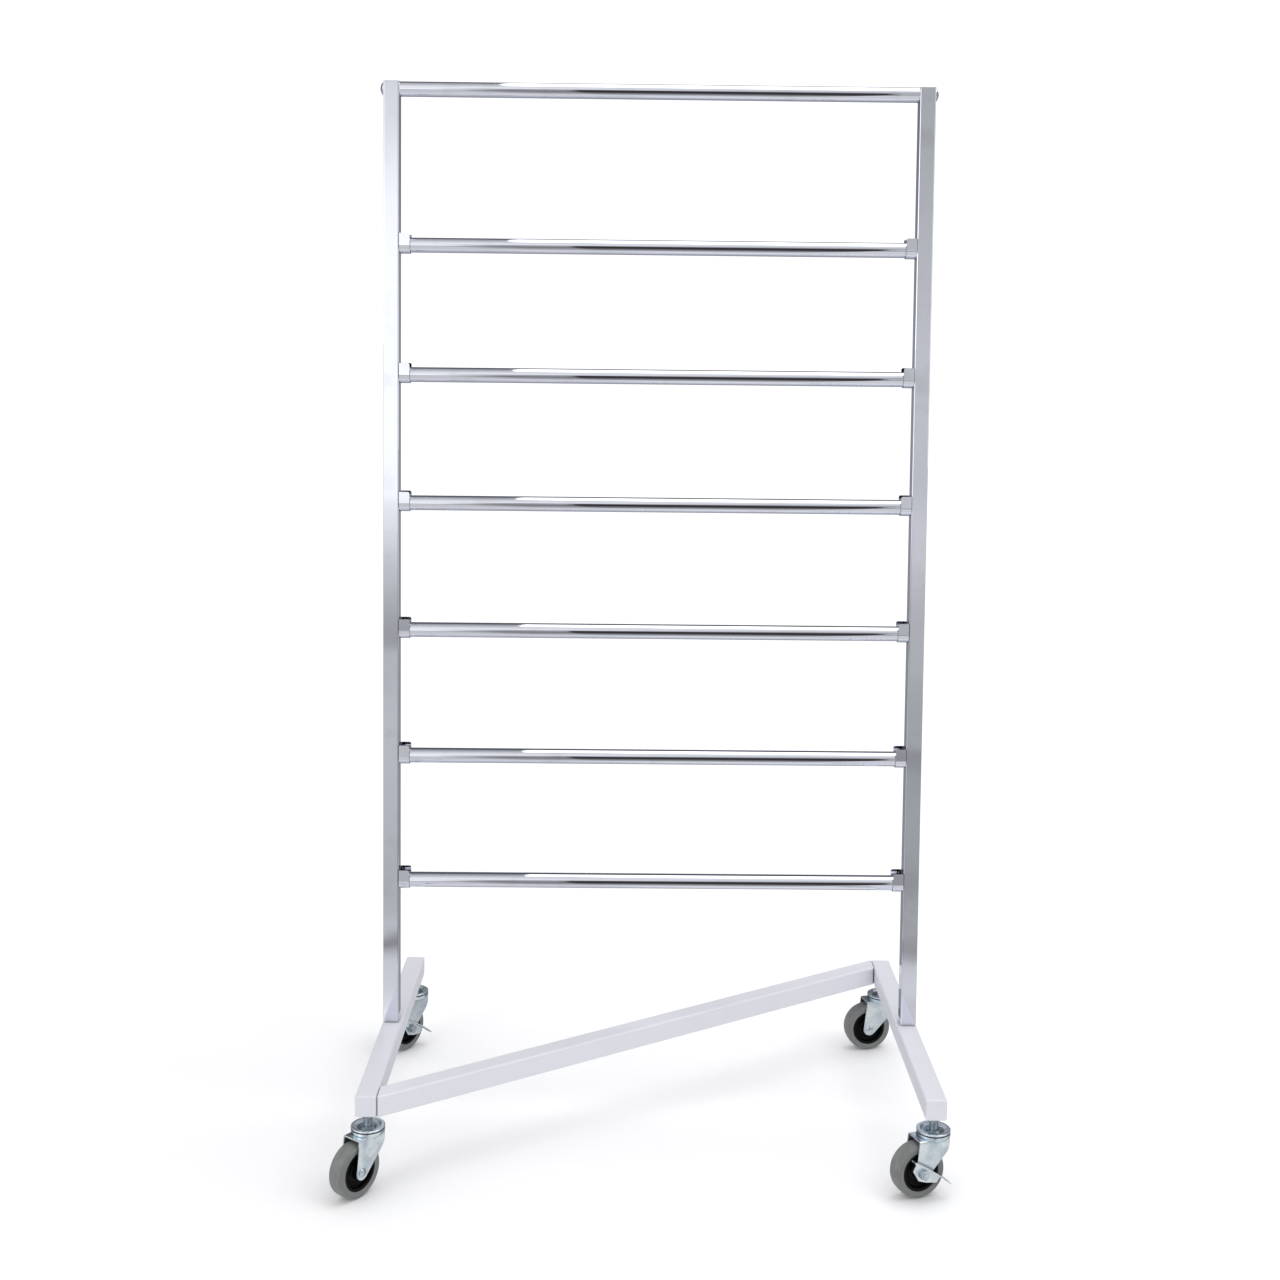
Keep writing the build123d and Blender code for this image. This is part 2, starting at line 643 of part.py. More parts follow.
def build_bars():
    save("top_hang_bar", round_tube(BAR_RADIUS, BAR_WALL, POST_FACE, TOP_BAR_Z))
    save("top_hang_bar_inserts", top_bar_insert(-1), top_bar_insert(1))
    save("top_hang_bar_bolts", top_bar_bolt(-1), top_bar_bolt(1))
    screws = []
    for number, height in enumerate(crossbar_heights(), start=1):
        save(f"crossbar_{number}", round_tube(BAR_RADIUS, BAR_WALL, CROSSBAR_HALF_LENGTH, height))
        save(f"left_bracket_{number}", bracket(-1, height))
        save(f"right_bracket_{number}", bracket(1, height))
        screws += [bracket_screw(side, height, rise) for side in (-1, 1) for rise in BRACKET_SCREW_RISES]
    save("bracket_screws", *screws)


def build_casters():
    casters = {
        "front_left": (-1, -1, 52.5, False),
        "front_right": (1, -1, 21.0, True),
        "back_left": (-1, 1, 54.5, True),
        "back_right": (1, 1, 12.0, False),
    }
    places = [caster_frame(side, end, swivel) for side, end, swivel, _ in casters.values()]
    save("caster_stems", *[place * caster_stem() for place in places])
    save("caster_lock_nuts", *[place * caster_lock_nut() for place in places])
    save("caster_weld_nuts", *[place * caster_weld_nut() for place in places])
    save("caster_raceways", *[place * caster_raceway() for place in places])
    save("caster_swivel_balls", *[place * ball for place in places for ball in swivel_balls()])
    for place, (name, (_, _, _, braked)) in zip(places, casters.items()):
        save(f"{name}_fork", place * caster_fork())
        save(f"{name}_hub", place * wheel_hub())
        save(f"{name}_tyre", place * wheel_tyre())
        save(f"{name}_axle", place * (bolt_axle() if braked else rivet_axle()))
        if braked:
            save(f"{name}_axle_nut", place * axle_nut())
            save(f"{name}_brake_lever", place * brake_lever())


build_base()
build_uprights()
build_bars()
build_casters()
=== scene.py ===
import json
from math import cos, pi, radians, sin

import bmesh
import bpy
from mathutils import Matrix, Vector


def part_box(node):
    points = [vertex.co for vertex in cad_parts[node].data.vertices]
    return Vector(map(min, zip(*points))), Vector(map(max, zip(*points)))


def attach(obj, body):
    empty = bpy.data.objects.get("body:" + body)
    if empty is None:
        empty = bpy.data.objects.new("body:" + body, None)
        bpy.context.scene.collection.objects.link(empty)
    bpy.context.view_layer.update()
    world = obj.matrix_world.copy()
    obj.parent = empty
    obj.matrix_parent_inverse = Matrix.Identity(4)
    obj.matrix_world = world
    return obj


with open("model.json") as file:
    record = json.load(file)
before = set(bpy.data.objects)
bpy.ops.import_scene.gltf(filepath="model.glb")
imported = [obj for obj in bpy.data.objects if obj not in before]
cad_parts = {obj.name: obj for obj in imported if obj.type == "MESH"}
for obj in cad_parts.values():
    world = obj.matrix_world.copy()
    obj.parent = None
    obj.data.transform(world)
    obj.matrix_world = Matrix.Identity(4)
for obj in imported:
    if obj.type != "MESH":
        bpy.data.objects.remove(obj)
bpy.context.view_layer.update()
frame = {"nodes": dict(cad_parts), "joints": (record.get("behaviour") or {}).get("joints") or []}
nodes = frame["nodes"]
joints = {joint["name"]: joint for joint in frame["joints"]}
corners = ("front_left", "front_right", "back_left", "back_right")

# Lengths in metres
MICRON = 1e-6
FLOOR_RADIUS = 1.9
FLOOR_FULL_RADIUS = 0.855
STEM_RADIUS = 0.006
THREAD_PITCH = 0.00175
THREAD_DEPTH = 0.0006
THREAD_SINK = 0.00005
DISH_RADIUS = 0.0175
DISH_EDGE = 0.0035
TREAD_START = 0.0382
TREAD_FULL = 0.0398
FLANK_START = 0.0350
FLANK_FULL = 0.0340
FLANK_RING_PITCH = 0.0009
WELD_REACH = 0.000002

# Steps of the thread in one turn, and those over which it rises out of the stem at its ends
THREAD_STEPS = 32
THREAD_RUN_OUT = 10
# Degrees between two faces from which their edge is softened
SHARP_ANGLE = 33


# ---------------------------------------------------------------- node helpers


class Graph:
    """Shorthand for building a node tree."""

    def __init__(self, tree):
        self.tree = tree
        tree.nodes.clear()

    def add(self, kind, inputs=(), **settings):
        node = self.tree.nodes.new(kind)
        for name, value in settings.items():
            setattr(node, name, value)
        for name, value in dict(inputs).items():
            self.feed(value, node.inputs[name])
        return node

    def feed(self, value, socket):
        if isinstance(value, bpy.types.NodeSocket):
            self.tree.links.new(value, socket)
        else:
            socket.default_value = value

    def feed_all(self, values, sockets):
        for value, socket in zip(values, sockets):
            self.feed(value, socket)

    def math(self, operation, a, b=0.0, clamp=False):
        node = self.add("ShaderNodeMath", operation=operation, use_clamp=clamp)
        self.feed_all((a, b), node.inputs)
        return node.outputs[0]

    def scaled(self, value, factor, base):
        """value * factor + base"""
        node = self.add("ShaderNodeMath", operation="MULTIPLY_ADD")
        self.feed_all((value, factor, base), node.inputs)
        return node.outputs[0]

    def vector(self, operation, a, b=(0.0, 0.0, 0.0), output="Vector"):
        node = self.add("ShaderNodeVectorMath", operation=operation)
        self.feed_all((a, b), node.inputs)
        return node.outputs[output]

    def length(self, a):
        return self.vector("LENGTH", a, output="Value")

    def step(self, value, low, high, low_out=0.0, high_out=1.0):
        """Smooth change from low_out to high_out as the value goes from low to high."""
        labels = ("Value", "From Min", "From Max", "To Min", "To Max")
        inputs = dict(zip(labels, (value, low, high, low_out, high_out)))
        node = self.add("ShaderNodeMapRange", inputs, interpolation_type="SMOOTHSTEP", clamp=True)
        return node.outputs["Result"]

    def noise(self, place, scale, detail=3.0, roughness=0.5):
        inputs = {"Vector": place, "Scale": scale, "Detail": detail, "Roughness": roughness}
        return self.add("ShaderNodeTexNoise", inputs).outputs["Fac"]

    def cells(self, place, scale):
        """Distance to the nearest of many scattered points."""
        node = self.add("ShaderNodeTexVoronoi", {"Vector": place, "Scale": scale})
        return node.outputs["Distance"]

    def stretch(self, place, scale):
        node = self.add("ShaderNodeMapping", {"Vector": place, "Scale": scale})
        return node.outputs["Vector"]

    def blend(self, amount, first, second, kind="MIX"):
        node = self.add("ShaderNodeMix", data_type="RGBA", blend_type=kind, clamp_factor=True)
        self.feed(amount, node.inputs["Factor"])
        self.feed_all((first, second), [socket for socket in node.inputs if socket.type == "RGBA"])
        return next(socket for socket in node.outputs if socket.type == "RGBA")

    def crevice(self, distance):
        """1 in the open, falling towards 0 deep in a joint or a recess."""
        return self.add("ShaderNodeAmbientOcclusion", {"Distance": distance}, samples=6).outputs["AO"]

    def bump(self, height, depth, normal=None):
        """Relief of the given depth, laid over the normal of an earlier one where there is one."""
        node = self.add("ShaderNodeBump", {"Height": height, "Distance": depth, "Strength": 1.0})
        if normal is not None:
            self.feed(normal, node.inputs["Normal"])
        return node.outputs["Normal"]


def rgb(red, green, blue):
    return (red, green, blue, 1.0)


def finish_material(name, build, **uniform):
    """A Principled material: build(graph, place) returns the linked inputs, uniform sets plain ones."""
    material = bpy.data.materials.new(name)
    material.use_nodes = True
    graph = Graph(material.node_tree)
    place = graph.add("ShaderNodeTexCoord").outputs["Object"]
    shader = graph.add("ShaderNodeBsdfPrincipled")
    for label, value in uniform.items():
        graph.feed(value, shader.inputs[label.replace("_", " ")])
    for label, value in build(graph, place).items():
        graph.feed(value, shader.inputs[label])
    output = graph.add("ShaderNodeOutputMaterial")
    graph.feed(shader.outputs["BSDF"], output.inputs["Surface"])
    return material


# ---------------------------------------------------------------- materials

CHROME_BRIGHT = rgb(0.755, 0.775, 0.84)
CHROME_COOL = rgb(0.705, 0.73, 0.815)
CHROME_HAZE = rgb(0.67, 0.69, 0.745)
# Near black for the painted shade in the chrome's joints
CHROME_CREVICE_SHADE = rgb(0.06, 0.06, 0.065)
PAINT_LIGHT = rgb(0.715, 0.72, 0.775)
PAINT_DARK = rgb(0.67, 0.68, 0.735)
PAINT_SCUFF = rgb(0.60, 0.60, 0.62)
PAINT_SPECK = rgb(0.45, 0.45, 0.46)
# Near black for the painted shade in the paint's seams
PAINT_SEAM_SHADE = rgb(0.02, 0.02, 0.02)
ZINC_BLUE = rgb(0.52, 0.62, 0.72)
# Dark blue-grey for the painted shade in the zinc's recesses
ZINC_CREVICE_SHADE = rgb(0.06, 0.09, 0.11)
# Darker blue for the tint round each caster stem
DISH_DARK_TINT = rgb(0.10, 0.16, 0.19)
STEEL_LIGHT = rgb(0.50, 0.50, 0.50)
STEEL_DARK = rgb(0.40, 0.395, 0.39)
RUBBER_DARK = rgb(0.160, 0.165, 0.165)
RUBBER_LIGHT = rgb(0.190, 0.196, 0.196)
DUST = rgb(0.24, 0.238, 0.232)
PLASTIC_DARK = rgb(0.002, 0.0018, 0.0024)
PLASTIC_LIGHT = rgb(0.004, 0.0035, 0.0045)


def chrome(name, grain):
    """Bright plating: polishing lines by grain, handling smudges, a few pits, painted shade in the joints.
    """

    def build(graph, place):
        lines = graph.noise(graph.stretch(place, grain), 1.0, detail=2.0)
        smudge = graph.noise(place, 17.0, detail=5.0, roughness=0.62)
        film = graph.step(smudge, 0.48, 0.74)
        pits = graph.step(graph.cells(place, 260.0), 0.045, 0.02)
        sparse = graph.step(graph.noise(place, 9.0, detail=2.0), 0.52, 0.66)
        marks = graph.math("MULTIPLY", pits, sparse)
        rough = graph.scaled(film, 0.035, 0.02)
        rough = graph.math("ADD", rough, graph.math("MULTIPLY", lines, 0.015))
        rough = graph.math("ADD", rough, graph.math("MULTIPLY", marks, 0.2), clamp=True)
        sheen = graph.noise(place, 5.0, detail=2.0)
        colour = graph.blend(sheen, CHROME_BRIGHT, CHROME_COOL)
        colour = graph.blend(film, colour, CHROME_HAZE)
        # Painted shade: joints and recesses darken to near black by the crevice measure
        painted_shade = graph.step(graph.crevice(0.010), 0.76, 0.42, high_out=0.92)
        colour = graph.blend(painted_shade, colour, CHROME_CREVICE_SHADE)
        normal = graph.bump(graph.noise(place, 11.0, detail=1.0), 120 * MICRON)
        normal = graph.bump(lines, 1.5 * MICRON, normal)
        normal = graph.bump(marks, -30 * MICRON, normal)
        return {"Base Color": colour, "Roughness": rough, "Normal": normal}

    return finish_material(name, build, Metallic=1.0)


def paint():
    """Pale powder coat: orange peel, faint clouding, dull scuffs, specks and painted shade in the seams."""

    def build(graph, place):
        peel = graph.noise(place, 640.0, detail=2.0, roughness=0.45)
        cloud = graph.noise(place, 6.0)
        speck = graph.step(graph.cells(place, 420.0), 0.05, 0.02)
        rub = graph.noise(graph.stretch(place, (210.0, 28.0, 90.0)), 1.0, detail=4.0, roughness=0.6)
        rub = graph.step(rub, 0.64, 0.78)
        colour = graph.blend(cloud, PAINT_LIGHT, PAINT_DARK)
        colour = graph.blend(graph.math("MULTIPLY", rub, 0.35), colour, PAINT_SCUFF)
        colour = graph.blend(graph.math("MULTIPLY", speck, 0.25), colour, PAINT_SPECK)
        # Painted shade: seams darken to near black by the crevice measure
        painted_shade = graph.step(graph.crevice(0.005), 0.55, 0.12, high_out=0.97)
        colour = graph.blend(painted_shade, colour, PAINT_SEAM_SHADE)
        rough = graph.scaled(cloud, 0.12, 0.34)
        rough = graph.math("ADD", rough, graph.math("MULTIPLY", rub, 0.12), clamp=True)
        return {"Base Color": colour, "Roughness": rough, "Normal": graph.bump(peel, 30 * MICRON)}

    return finish_material("powder_coat", build, Metallic=0.0, Coat_Weight=0.12, Coat_Roughness=0.18)


def nearest_stem(graph, place):
    """Distance from the axis of the nearest caster stem."""
    spots = [Vector(joints[f"{corner}_swivel"]["pos_m"]) for corner in corners]
    centre = sum(spots, Vector()) / len(spots)
    half_spacing = Vector(abs(value) for value in spots[0] - centre)
    offset = graph.vector("ABSOLUTE", graph.vector("SUBTRACT", place, tuple(centre)))
    offset = graph.vector("SUBTRACT", offset, (half_spacing.x, half_spacing.y, 0.0))
    return graph.length(graph.vector("MULTIPLY", offset, (1.0, 1.0, 0.0)))


def zinc(name, light, dark, rough_range, recess, bare=0.72, patch=75.0, dish=0.0, metal=1.0):
    """Bright zinc plate on pressed steel: blue cast, mottle, drawn marks, painted shade in the recesses.

    recess is the reach of the painted shade in the recesses, and bare the openness from which
    there is none. patch is the scale of the mottle, and dish the radius of the darker tint round each stem.
    """

    def build(graph, place):
        mottle = graph.noise(place, patch)
        grain = graph.noise(place, 1400.0, detail=2.0)
        drawn = graph.noise(graph.stretch(place, (160.0, 160.0, 1300.0)), 1.0, detail=2.0)
        cast = graph.noise(place, 24.0, detail=2.0)
        colour = graph.blend(graph.step(mottle, 0.35, 0.68), rgb(*light), rgb(*dark))
        colour = graph.blend(graph.step(cast, 0.46, 0.70, high_out=0.45), colour, ZINC_BLUE)
        # Painted shade: recesses darken to a dark blue-grey by the crevice measure
        crevice_shade = graph.step(graph.crevice(recess), bare, bare - 0.5, high_out=0.88)
        colour = graph.blend(crevice_shade, colour, ZINC_CREVICE_SHADE)
        # A darker, bluer tint round each caster stem, out to the dish radius
        if dish:
            dish_tint = graph.step(nearest_stem(graph, place), dish, dish - DISH_EDGE, high_out=0.72)
            colour = graph.blend(dish_tint, colour, DISH_DARK_TINT)
        rough = graph.step(mottle, 0.3, 0.72, *rough_range)
        rough = graph.math("ADD", rough, graph.math("MULTIPLY", grain, 0.05), clamp=True)
        normal = graph.bump(grain, 8 * MICRON)
        normal = graph.bump(drawn, 12 * MICRON, normal)
        normal = graph.bump(mottle, 50 * MICRON, normal)
        return {"Base Color": colour, "Roughness": rough, "Normal": normal}

    return finish_material(name, build, Metallic=metal)


def raw_steel():
    """Turned steel with no plating, for the pieces inside."""

    def build(graph, place):
        turning = graph.noise(graph.stretch(place, (500.0, 500.0, 2600.0)), 1.0, detail=2.0)
        mottle = graph.noise(place, 140.0, detail=4.0)
        colour = graph.blend(mottle, STEEL_LIGHT, STEEL_DARK)
        rough = graph.step(mottle, 0.3, 0.7, 0.3, 0.48)
        return {"Base Color": colour, "Roughness": rough, "Normal": graph.bump(turning, 20 * MICRON)}

    return finish_material("bare_steel", build, Metallic=1.0)


def axle_distance(graph, place, joint):
    """Distance from the axle line of a wheel's own spin joint."""
    offset = graph.vector("SUBTRACT", place, tuple(joint["pos_m"]))
    axle = Vector(joint["axis"]).normalized()
    return graph.length(graph.vector("CROSS_PRODUCT", offset, tuple(axle)))


def rubber(name, joint):
    """Grey tyre: fine moulded grain, a dusty running band and turned rings on the flanks."""

    def build(graph, place):
        reach = axle_distance(graph, place, joint)
        grain = graph.noise(place, 1100.0, roughness=0.6)
        cloud = graph.noise(place, 85.0, detail=4.0, roughness=0.6)
        tread = graph.step(reach, TREAD_START, TREAD_FULL)
        dust = graph.math("MULTIPLY", tread, graph.step(cloud, 0.36, 0.66))
        colour = graph.blend(cloud, RUBBER_DARK, RUBBER_LIGHT)
        colour = graph.blend(graph.math("MULTIPLY", dust, 0.5), colour, DUST)
        rough = graph.scaled(dust, 0.12, 0.27)
        rough = graph.math("ADD", rough, graph.math("MULTIPLY", grain, 0.08), clamp=True)
        rings = graph.math("SINE", graph.math("MULTIPLY", reach, 2 * pi / FLANK_RING_PITCH))
        turned = graph.math("MULTIPLY", rings, graph.step(reach, FLANK_START, FLANK_FULL))
        normal = graph.bump(grain, 30 * MICRON)
        normal = graph.bump(turned, 25 * MICRON, normal)
        return {"Base Color": colour, "Roughness": rough, "Normal": normal}

    return finish_material(name, build, Metallic=0.0)


def plastic():
    """Moulded black plastic with a fine spark-eroded skin."""

    def build(graph, place):
        spark = graph.noise(place, 1700.0, detail=2.0)
        cloud = graph.noise(place, 70.0)
        colour = graph.blend(cloud, PLASTIC_DARK, PLASTIC_LIGHT)
        rough = graph.step(cloud, 0.3, 0.7, 0.34, 0.46)
        return {"Base Color": colour, "Roughness": rough, "Normal": graph.bump(spark, 20 * MICRON)}

    return finish_material("hub_plastic", build, Metallic=0.0, Specular_IOR_Level=0.12)


along_x = (9.0, 1500.0, 1500.0)
along_z = (1500.0, 1500.0, 9.0)
every_way = (700.0, 700.0, 700.0)
bar_chrome = chrome("chrome_bar", along_x)
post_chrome = chrome("chrome_post", along_z)
bracket_chrome = chrome("chrome_bracket", every_way)
coat = paint()
sheet_zinc = zinc(
    "zinc_pressing", light=(0.86, 0.93, 0.96), dark=(0.62, 0.71, 0.78),
    rough_range=(0.16, 0.30), recess=0.006, bare=0.78, patch=46.0,
)
race_zinc = zinc(
    "zinc_raceway", light=(0.74, 0.81, 0.86), dark=(0.60, 0.67, 0.73),
    rough_range=(0.14, 0.26), recess=0.009, dish=DISH_RADIUS, metal=0.75,
)
# Painted shade: a darker copy of the turned zinc with a wide crevice reach, for the lock nuts under the
# rails
shaded_nut_zinc = zinc(
    "zinc_nut_shaded", light=(0.52, 0.59, 0.64), dark=(0.38, 0.44, 0.49),
    rough_range=(0.12, 0.24), recess=0.02, bare=0.95,
)
lever_zinc = zinc(
    "zinc_lever", light=(0.86, 0.92, 0.94), dark=(0.78, 0.85, 0.88),
    rough_range=(0.16, 0.26), recess=0.004,
)
turned_zinc = zinc(
    "zinc_turned", light=(0.66, 0.72, 0.77), dark=(0.52, 0.58, 0.64),
    rough_range=(0.12, 0.24), recess=0.004,
)
steel = raw_steel()
black = plastic()

# Finish by a word in the piece's name; the longest word that fits counts
finishes = {
    "base_rail": coat,
    "end_plugs": coat,
    "end_plates": steel,
    "joint_bolts": turned_zinc,
    "upright": post_chrome,
    "upright_cap": post_chrome,
    "foot_plugs": steel,
    "foot_bolts": turned_zinc,
    "hang_bar": bar_chrome,
    "bar_inserts": steel,
    "bar_bolts": bracket_chrome,
    "crossbar": bar_chrome,
    "bracket": bracket_chrome,
    "bracket_screws": turned_zinc,
    "stems": turned_zinc,
    "lock_nuts": shaded_nut_zinc,
    "weld_nuts": steel,
    "raceways": race_zinc,
    "balls": steel,
    "fork": sheet_zinc,
    "hub": black,
    "axle": turned_zinc,
    "axle_nut": turned_zinc,
    "brake_lever": lever_zinc,
}


def finish_for(name):
    matches = [key for key in finishes if key in name]
    return finishes[max(matches, key=len)]


for name, piece in nodes.items():
    if name.endswith("_tyre"):
        wheel = name.removesuffix("_tyre")
        material = rubber(f"rubber_{wheel}", joints[f"{wheel}_wheel_spin"])
    else:
        material = finish_for(name)
    for slot in piece.material_slots:
        slot.material = material


# ---------------------------------------------------------------- softened edges

# Width in metres by the end of the piece's name, before its number where it has one
edge_widths = {
    "bracket": 0.0008,
    "fork": 0.00045,
    "brake_lever": 0.0004,
    "raceways": 0.0003,
    "lock_nuts": 0.0003,
    "axle": 0.0003,
    "hub": 0.0004,
    "stems": 0.0003,
    "tyre": 0.0004,
    "base_rail": 0.0003,
    "upright": 0.0002,
}


def soften(piece, width):
    """Join the faces, round the sharp edges in two steps and keep the flat faces flat in shading."""
    weld = piece.modifiers.new("join_faces", "WELD")
    weld.merge_threshold = WELD_REACH
    bevel = piece.modifiers.new("soft_edges", "BEVEL")
    bevel.width = width
    bevel.segments = 2
    bevel.limit_method = "ANGLE"
    bevel.angle_limit = radians(SHARP_ANGLE)
    bevel.use_clamp_overlap = True
    level = piece.modifiers.new("even_shading", "WEIGHTED_NORMAL")
    level.keep_sharp = True
    level.weight = 80


for name, piece in nodes.items():
    ending = name.rstrip("0123456789").rstrip("_")
    for key, width in edge_widths.items():
        if ending.endswith(key):
            soften(piece, width)
            break


# ---------------------------------------------------------------- stem threads


def stem_thread(name, centre, low, high):
    """One helical ridge round the bare length of a caster stem."""
    turns = (high - low - THREAD_PITCH) / THREAD_PITCH
    count = int(turns * THREAD_STEPS)
    # Rise above the stem's surface, and place along the stem in shares of the pitch
    section = (
        (-THREAD_SINK, -0.42),
        (THREAD_DEPTH * 0.8, -0.1),
        (THREAD_DEPTH, 0.0),
        (THREAD_DEPTH * 0.8, 0.1),
        (-THREAD_SINK, 0.42),
    )
    shape = bmesh.new()
    rings = []
    for k in range(count + 1):
        angle = 2 * pi * k / THREAD_STEPS
        fade = min(1.0, k / THREAD_RUN_OUT, (count - k) / THREAD_RUN_OUT)
        middle = low + THREAD_PITCH * (0.5 + k / THREAD_STEPS)
        ring = []
        for rise, share in section:
            reach = STEM_RADIUS - THREAD_SINK + (rise + THREAD_SINK) * fade
            spot = (
                centre[0] + reach * cos(angle),
                centre[1] + reach * sin(angle),
                middle + share * THREAD_PITCH * fade,
            )
            ring.append(shape.verts.new(spot))
        rings.append(ring)
    for first, second in zip(rings, rings[1:]):
        for k in range(len(section) - 1):
            shape.faces.new((first[k], second[k], second[k + 1], first[k + 1]))
        shape.faces.new((first[-1], second[-1], second[0], first[0]))
    shape.faces.new(rings[0])
    shape.faces.new(rings[-1][::-1])
    bmesh.ops.recalc_face_normals(shape, faces=shape.faces)
    mesh = bpy.data.meshes.new(name)
    shape.to_mesh(mesh)
    shape.free()
    for face in mesh.polygons:
        face.use_smooth = True
    thread = bpy.data.objects.new(name, mesh)
    bpy.context.scene.collection.objects.link(thread)
    mesh.materials.append(turned_zinc)
    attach(thread, "frame")


nut_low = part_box("caster_lock_nuts")[0][2]
race_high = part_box("caster_raceways")[1][2]
for corner in corners:
    stem_thread(f"{corner}_stem_thread", joints[f"{corner}_swivel"]["pos_m"], race_high, nut_low)


# ---------------------------------------------------------------- camera, floor and light

# Place in metres, turns in degrees, focal length in millimetres, shift in shares of the frame
CAMERA_PLACE = (-0.02635, -2.61748, 1.25523)
CAMERA_HEADING = -0.52
CAMERA_TILT = -3.83
CAMERA_ROLL = -0.61
CAMERA_LENS = 46.04
CAMERA_SHIFT = (-0.00537, -0.1404)


def make_camera():
    """Camera of the photograph: nearly level, its framing moved down by the shift."""
    data = bpy.data.cameras.new("camera")
    data.sensor_width = 36.0
    data.lens = CAMERA_LENS
    data.shift_x, data.shift_y = CAMERA_SHIFT
    data.clip_end = 60.0
    camera = bpy.data.objects.new("camera", data)
    turn = (
        Matrix.Rotation(radians(CAMERA_HEADING), 4, "Z")
        @ Matrix.Rotation(radians(CAMERA_TILT), 4, "X")
        @ Matrix.Rotation(radians(CAMERA_ROLL), 4, "Y")
        @ Matrix.Rotation(radians(90), 4, "X")
    )
    camera.matrix_world = Matrix.Translation(CAMERA_PLACE) @ turn
    bpy.context.scene.collection.objects.link(camera)
    bpy.context.scene.camera = camera


def make_floor():
    """Pale round floor that thins out to nothing towards its edge."""
    mesh = bpy.data.meshes.new("floor")
    shape = bmesh.new()
    bmesh.ops.create_circle(shape, cap_ends=True, radius=FLOOR_RADIUS, segments=96)
    shape.to_mesh(mesh)
    shape.free()
    floor = bpy.data.objects.new("floor", mesh)
    bpy.context.scene.collection.objects.link(floor)

    def build(graph, place):
        cloud = graph.noise(place, 3.0)
        shown = graph.step(graph.length(place), FLOOR_RADIUS, FLOOR_FULL_RADIUS)
        colour = graph.blend(cloud, rgb(0.94, 0.94, 0.945), rgb(0.93, 0.93, 0.935))
        return {"Base Color": colour, "Alpha": shown}

    mesh.materials.append(finish_material("floor", build, Roughness=0.9))
    floor.visible_glossy = False


def soft_light(name, place, aim, size, power):
    """Rectangular area light that the camera doesn't see."""
    data = bpy.data.lights.new(name, "AREA")
    data.shape = "RECTANGLE"
    data.size, data.size_y = size
    data.energy = power
    lamp = bpy.data.objects.new(name, data)
    lamp.location = place
    lamp.rotation_mode = "QUATERNION"
    lamp.rotation_quaternion = (Vector(aim) - Vector(place)).to_track_quat("-Z", "Y")
    lamp.visible_camera = False
    bpy.context.scene.collection.objects.link(lamp)


# Brightness of the studio by height above the horizon, in degrees, for three sides of the object
LEFT_FRONT = (
    (-90, 0.70), (-75, 0.84), (-62, 0.82), (-48, 0.72), (-31, 0.70), (-23, 0.74), (-20, 0.55),
    (-17, 0.58), (-12, 0.60), (-9.8, 0.45), (-6.6, 0.88), (-3, 1.34), (3, 1.34), (9, 0.90),
    (19, 1.15), (36, 0.98), (52, 0.86), (70, 0.66), (90, 0.45),
)
RIGHT_FRONT = (
    (-90, 0.85), (-76, 0.95), (-58, 0.78), (-45, 0.76), (-32, 0.85), (-24, 0.80), (-20, 0.45),
    (-14.6, 0.46), (-10, 0.56), (-7, 0.72), (-3, 0.69), (3, 0.64), (9, 0.50), (20, 0.55),
    (32, 0.75), (50, 0.98), (75, 1.15), (90, 0.9),
)
BEHIND = (
    (-90, 0.78), (-60, 0.45), (-30, 0.34), (-15, 0.30), (0, 0.32), (9, 0.20), (25, 0.11),
    (60, 0.13), (80, 0.35), (90, 0.5),
)
# The same brightness in finer steps, over the heights where the flat uprights mirror the studio,
# and the degrees over which the finer steps take over at either end
FINE_LOW = -24.0
FINE_LOW_BLEND = 0.2
FINE_HIGH = 12.0
FINE_HIGH_BLEND = 1.0
LEFT_FINE = (
    (-24, 1.15), (-22.4, 1.10), (-22, 0.94), (-21.7, 0.81), (-21, 0.78), (-20.6, 0.75),
    (-20.45, 0.66), (-20.2, 0.36), (-20.0, 0.20), (-19.85, 0.60), (-19.7, 0.68), (-19.2, 0.58),
    (-18, 0.55), (-16.6, 0.60), (-13.6, 0.65), (-12.2, 0.64), (-11.2, 0.60), (-10.5, 0.62),
    (-10.3, 0.45), (-9.9, 0.43), (-9.2, 0.50), (-7.8, 0.68), (-6.4, 0.93), (-5.4, 1.10),
    (-5.1, 1.25), (-3, 1.34), (3, 1.33), (4.9, 1.25), (7.6, 0.98), (9, 0.89), (12, 0.92),
)
RIGHT_FINE = (
    (-24, 0.70), (-21.8, 0.72), (-21.4, 0.80), (-20.6, 0.69), (-20.4, 0.50), (-20.2, 0.38),
    (-19.9, 0.39), (-19.7, 0.46), (-18.7, 0.47), (-18.1, 0.38), (-17.7, 0.385), (-17.4, 0.435),
    (-15.7, 0.46), (-14.5, 0.44), (-14.1, 0.36), (-13.8, 0.35), (-13.5, 0.48), (-12.4, 0.475),
    (-11.3, 0.51), (-11, 0.555), (-9.2, 0.57), (-7.3, 0.72), (-6, 0.745), (-4.5, 0.67),
    (-1.8, 0.69), (-1.1, 0.63), (-0.8, 0.64), (-0.4, 0.70), (1.7, 0.66), (7.1, 0.525), (12, 0.50),
)
# Share of the dark figure beside the camera over the heights, and of the half shade on its left
FIGURE = (
    (-90, 0.0), (-62, 0.0), (-52, 0.25), (-42, 0.58), (-28, 0.84), (-17, 1.0), (6, 1.0), (11, 0.7),
    (19, 0.0), (90, 0.0),
)
SHADE_SHARE = 0.67
FIGURE_COLOUR = rgb(0.045, 0.04, 0.045)
